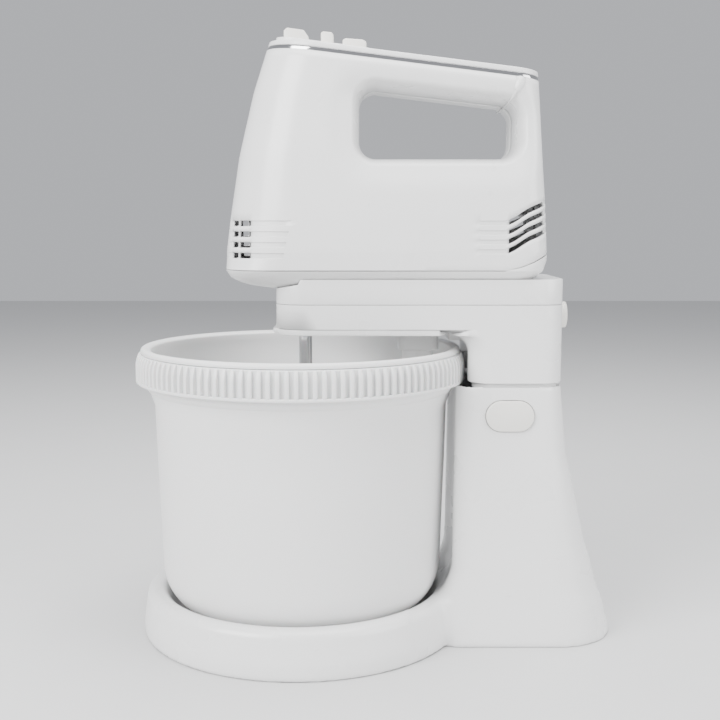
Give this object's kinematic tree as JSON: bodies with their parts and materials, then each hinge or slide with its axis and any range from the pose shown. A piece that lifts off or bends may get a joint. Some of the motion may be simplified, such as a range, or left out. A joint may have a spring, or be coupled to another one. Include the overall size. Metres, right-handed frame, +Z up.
{
  "type": "stand mixer",
  "caption": "White hand mixer docked on a tilting stand arm, two wire beaters over a large bowl that turns on a round base, driven through a toothed rim ring.",
  "frame": {"origin": "on the table, at the middle of the outline seen from above", "axes": "+X from the bowl to the column, +Y away from the tilt button's side, +Z up"},
  "size_m": [0.2992, 0.206, 0.3737],
  "materials": {
    "white_plastic": "satin white moulded plastic",
    "bowl_white": "satin white polypropylene",
    "ivory_plastic": "satin ivory plastic buttons",
    "chrome": "polished chrome",
    "bright_steel": "bright steel",
    "grey_nylon": "matte grey nylon",
    "black_plastic": "matte black plastic",
    "black_rubber": "matte rubber",
    "lamination": "varnished steel laminations",
    "copper": "enamelled copper wire",
    "bronze": "sintered bronze",
    "board_green": "green circuit board"
  },
  "bodies": {
    "stand": {"stand_housing": "white_plastic", "bottom_cover": "white_plastic", "rubber_feet": "black_rubber", "cover_screws": "bright_steel", "hinge_pin": "bright_steel", "turntable_pin": "bright_steel", "glide_ring": "grey_nylon", "tilt_spring": "bright_steel"},
    "tilt_button": {"tilt_button": "ivory_plastic"},
    "turntable": {"turntable": "white_plastic", "bowl": "bowl_white", "bowl_ring": "bowl_white"},
    "arm": {"arm_housing": "white_plastic", "arm_cover": "white_plastic", "arm_bottom_plate": "white_plastic", "tilt_bracket": "bright_steel", "bracket_screws": "bright_steel", "pivot_bushes": "bronze", "pinion_bushes": "bronze", "gear_lug": "white_plastic", "bowl_scraper": "white_plastic", "drive_belt": "black_rubber", "release_spring": "bright_steel"},
    "pinion": {"drive_pinion": "grey_nylon", "big_pulley": "grey_nylon"},
    "sleeve": {"drive_sleeve": "grey_nylon"},
    "release_button": {"release_button": "ivory_plastic"},
    "mixer": {"mixer_housing_left": "white_plastic", "mixer_housing_right": "white_plastic", "top_cover": "white_plastic", "chrome_trim": "chrome", "bottom_pan": "white_plastic", "gearbox_frame": "grey_nylon", "rear_bearing_bracket": "grey_nylon", "motor_stator": "lamination", "field_coils": "copper", "motor_bearings": "bronze", "brush_holders": "bronze", "carbon_brushes": "black_plastic", "circuit_board": "board_green", "speed_switch": "black_plastic", "housing_screws": "bright_steel", "cord_gland": "white_plastic", "eject_spring": "bright_steel", "turbo_spring": "bright_steel"},
    "rotor": {"worm_shaft": "bright_steel", "armature": "copper", "commutator": "copper", "cooling_fan": "grey_nylon"},
    "beater_left": {"worm_wheel_left": "grey_nylon", "beater_left": "chrome"},
    "beater_right": {"worm_wheel_right": "grey_nylon", "beater_right": "chrome"},
    "eject_button": {"eject_button": "ivory_plastic"},
    "turbo_button": {"turbo_button": "ivory_plastic"},
    "speed_slider": {"speed_slider": "ivory_plastic"}
  },
  "joints": [
    {"name": "arm_tilt", "type": "hinge", "parent": "stand", "child": "arm", "pos_m": [0.1044, 0, 0.14], "axis": [0, 1, 0], "range_deg": [0, 40]},
    {"name": "bowl_spin", "type": "hinge", "parent": "stand", "child": "turntable", "pos_m": [-0.0466, 0, 0.01], "axis": [0, 0, 1], "continuous": true},
    {"name": "pinion_spin", "type": "hinge", "parent": "arm", "child": "pinion", "pos_m": [0.06527, 0, 0.17], "axis": [0, 0, 1], "continuous": true},
    {"name": "sleeve_spin", "type": "hinge", "parent": "arm", "child": "sleeve", "pos_m": [-0.0436, -0.0225, 0.2], "axis": [0, 0, 1], "continuous": true},
    {"name": "tilt_button_press", "type": "slide", "parent": "stand", "child": "tilt_button", "axis": [0, 1, 0], "range_m": [0, 0.003], "stiffness_N_per_m": 400, "springref_m": -0.003, "deforming": ["tilt_spring"]},
    {"name": "release_button_press", "type": "slide", "parent": "arm", "child": "release_button", "axis": [-1, 0, 0], "range_m": [0, 0.003], "stiffness_N_per_m": 400, "springref_m": -0.003, "deforming": ["release_spring"]},
    {"name": "mixer_lift", "type": "slide", "parent": "arm", "child": "mixer", "axis": [0, 0, 1], "range_m": [0, 0.04]},
    {"name": "rotor_spin", "type": "hinge", "parent": "mixer", "child": "rotor", "pos_m": [-0.0466, 0, 0.258], "axis": [1, 0, 0], "continuous": true},
    {"name": "beater_left_spin", "type": "hinge", "parent": "mixer", "child": "beater_left", "pos_m": [-0.0436, -0.0225, 0.2], "axis": [0, 0, 1], "continuous": true},
    {"name": "beater_right_spin", "type": "hinge", "parent": "mixer", "child": "beater_right", "pos_m": [-0.0436, 0.0225, 0.2], "axis": [0, 0, 1], "continuous": true},
    {"name": "eject_press", "type": "slide", "parent": "mixer", "child": "eject_button", "axis": [0, 0, -1], "range_m": [0, 0.005], "stiffness_N_per_m": 400, "springref_m": -0.003, "deforming": ["eject_spring"]},
    {"name": "turbo_press", "type": "slide", "parent": "mixer", "child": "turbo_button", "axis": [0, 0, -1], "range_m": [0, 0.0025], "stiffness_N_per_m": 400, "springref_m": -0.003, "deforming": ["turbo_spring"]},
    {"name": "speed_slide", "type": "slide", "parent": "mixer", "child": "speed_slider", "axis": [-1, 0, 0], "range_m": [0, 0.006]}
  ],
  "couplings": [
    {"joint": "pinion_spin", "follows": "bowl_spin", "ratio": -10.333},
    {"joint": "sleeve_spin", "follows": "bowl_spin", "ratio": -20.667},
    {"joint": "beater_left_spin", "follows": "rotor_spin", "ratio": 0.055556},
    {"joint": "beater_right_spin", "follows": "rotor_spin", "ratio": -0.055556}
  ]
}
